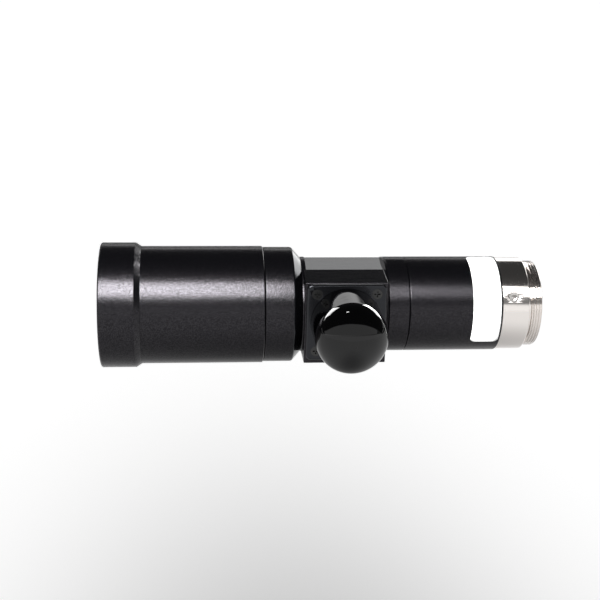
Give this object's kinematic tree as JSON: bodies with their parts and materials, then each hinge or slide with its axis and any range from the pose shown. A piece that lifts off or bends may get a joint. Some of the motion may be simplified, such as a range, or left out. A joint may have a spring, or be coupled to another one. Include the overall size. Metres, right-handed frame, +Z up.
{
  "type": "bi-telecentric lens",
  "caption": "Slim fixed bi-telecentric machine-vision lens with a screw-in camera mount and a side port for coaxial light, closed by a push-on cap.",
  "frame": {"origin": "centre of the camera mount's flange face, on the optical axis, where the lens meets the camera", "axes": "+X along the optical axis towards the camera; the light port points along -Y; +Z is up as the lens is shown"},
  "size_m": [0.128, 0.0554, 0.0364],
  "materials": {
    "blasted_anodised": "sand-blasted, satin black anodised",
    "milled_anodised": "milled smooth, black anodised",
    "inner_black": "matt black anodised, inside",
    "nickel_mount": "bright nickel plate, fine turned",
    "black_steel": "black oxide",
    "optical_glass": "polished and coated optical glass",
    "cap_vinyl": "dip-moulded soft vinyl, glossy black",
    "label_sheet": "plain white sticker sheet"
  },
  "bodies": {
    "mount": {"c_mount": "nickel_mount", "mount_set_screws": "black_steel"},
    "lens": {"front_hood": "blasted_anodised", "front_barrel": "blasted_anodised", "front_retaining_ring": "inner_black", "objective_crown": "optical_glass", "objective_flint": "optical_glass", "objective_spacer": "inner_black", "objective_field_lens": "optical_glass", "light_baffle": "inner_black", "neck_adapter": "blasted_anodised", "prism_housing": "blasted_anodised", "splitter_holder": "inner_black", "splitter_prism_front": "optical_glass", "splitter_prism_rear": "optical_glass", "side_plate": "milled_anodised", "plate_screws": "black_steel", "port_tube": "blasted_anodised", "port_condenser": "optical_glass", "port_lens_ring": "inner_black", "rear_barrel": "blasted_anodised", "aperture_stop": "inner_black", "rear_retaining_ring": "inner_black", "rear_crown": "optical_glass", "rear_flint": "optical_glass", "rear_spacer": "inner_black", "rear_field_lens": "optical_glass", "blank_label": "label_sheet"},
    "cap": {"port_cap": "cap_vinyl"}
  },
  "joints": [
    {"name": "mount_turn", "type": "hinge", "parent": "mount", "child": "lens", "pos_m": [0, 0, 0], "axis": [1, 0, 0], "continuous": true},
    {"name": "cap_pull", "type": "slide", "parent": "lens", "child": "cap", "axis": [0, -1, 0], "range_m": [0, 0.0125]}
  ]
}
